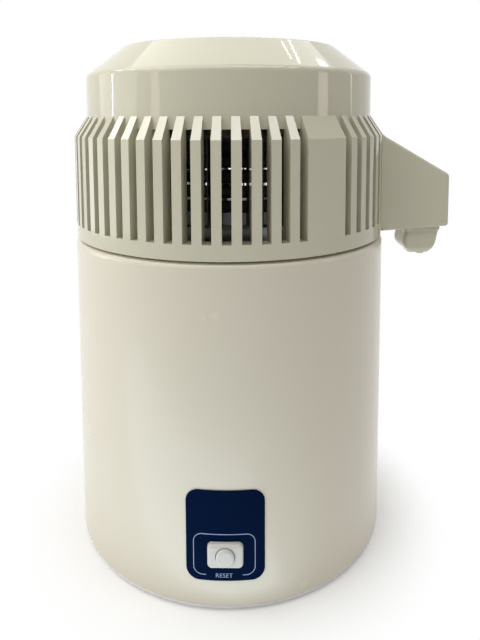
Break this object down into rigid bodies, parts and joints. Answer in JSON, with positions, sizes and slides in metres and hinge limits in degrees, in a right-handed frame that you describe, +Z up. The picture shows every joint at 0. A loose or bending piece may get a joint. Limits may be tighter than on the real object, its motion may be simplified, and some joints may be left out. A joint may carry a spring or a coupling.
{
  "type": "countertop water distiller",
  "caption": "Countertop water distiller: louvred lift-off head with spout arm, filter cup, finned coil and fan, on an enamelled boiler with a reset button.",
  "frame": {"origin": "on the vertical axis of the boiler, at the level of the bench", "axes": "+Z up, +X along the spout arm, +Y to the mains inlet, the control label 4 degrees from -Y"},
  "size_m": [0.2831, 0.2426, 0.36],
  "materials": {
    "head_ivory": "glossy moulded plastic",
    "shell_enamel": "glossy stoved enamel",
    "white_plastic": "glossy moulded plastic",
    "label_navy": "satin printed plate",
    "stainless": "drawn stainless steel",
    "zinc_steel": "zinc plated",
    "aluminium": "bare",
    "dark_fin": "darkened",
    "core_steel": "laminated",
    "copper_wire": "enamelled wire",
    "brass": "bare",
    "black_rubber": "matte",
    "silicone": "satin",
    "black_plastic": "matte",
    "pale_plastic": "matte",
    "ceramic_white": "unglazed",
    "sachet_cloth": "non-woven cloth"
  },
  "bodies": {
    "base": {"base_shell": "shell_enamel", "bottom_plate": "pale_plastic", "rubber_feet": "black_rubber", "boiling_chamber": "stainless", "heater_plate": "aluminium", "heater_element": "stainless", "thermostats": "black_plastic", "tie_rods": "zinc_steel", "heat_shield": "zinc_steel", "shield_nuts": "zinc_steel", "base_nuts": "zinc_steel", "terminal_block": "ceramic_white", "control_label": "label_navy", "reset_switch": "white_plastic", "switch_tags": "brass", "service_panel": "white_plastic", "mains_inlet": "black_plastic", "inlet_pins": "brass", "fan_socket": "black_plastic", "socket_contacts": "brass"},
    "button": {"reset_button": "white_plastic"},
    "head": {"head_shell": "head_ivory", "steam_plate": "stainless", "lid_gasket": "silicone", "splash_baffle": "stainless", "steam_fitting": "brass", "plate_screws": "zinc_steel", "condenser_coil": "stainless", "condenser_fins": "dark_fin", "coil_brackets": "zinc_steel", "fan_bracket": "zinc_steel", "bracket_screws": "zinc_steel", "motor_core": "core_steel", "motor_winding": "copper_wire", "upper_bridge": "zinc_steel", "lower_bridge": "zinc_steel", "motor_screws": "zinc_steel", "lead_gland": "black_rubber"},
    "fan": {"fan_impeller": "black_plastic", "fan_shaft": "zinc_steel", "motor_rotor": "aluminium"},
    "filter_cup": {"filter_cup": "head_ivory", "charcoal_sachet": "sachet_cloth"}
  },
  "joints": [
    {"name": "head_lift", "type": "slide", "parent": "base", "child": "head", "axis": [0, 0, 1], "range_m": [0, 0.18]},
    {"name": "reset_push", "type": "slide", "parent": "base", "child": "button", "axis": [0.0698, 0.9976, 0], "range_m": [0, 0.002], "stiffness_N_per_m": 500, "springref_m": -0.002},
    {"name": "fan_spin", "type": "hinge", "parent": "head", "child": "fan", "pos_m": [0, 0, 0.332], "axis": [0, 0, 1], "continuous": true},
    {"name": "cup_pull", "type": "slide", "parent": "head", "child": "filter_cup", "axis": [0, 0, -1], "range_m": [0, 0.03]}
  ]
}
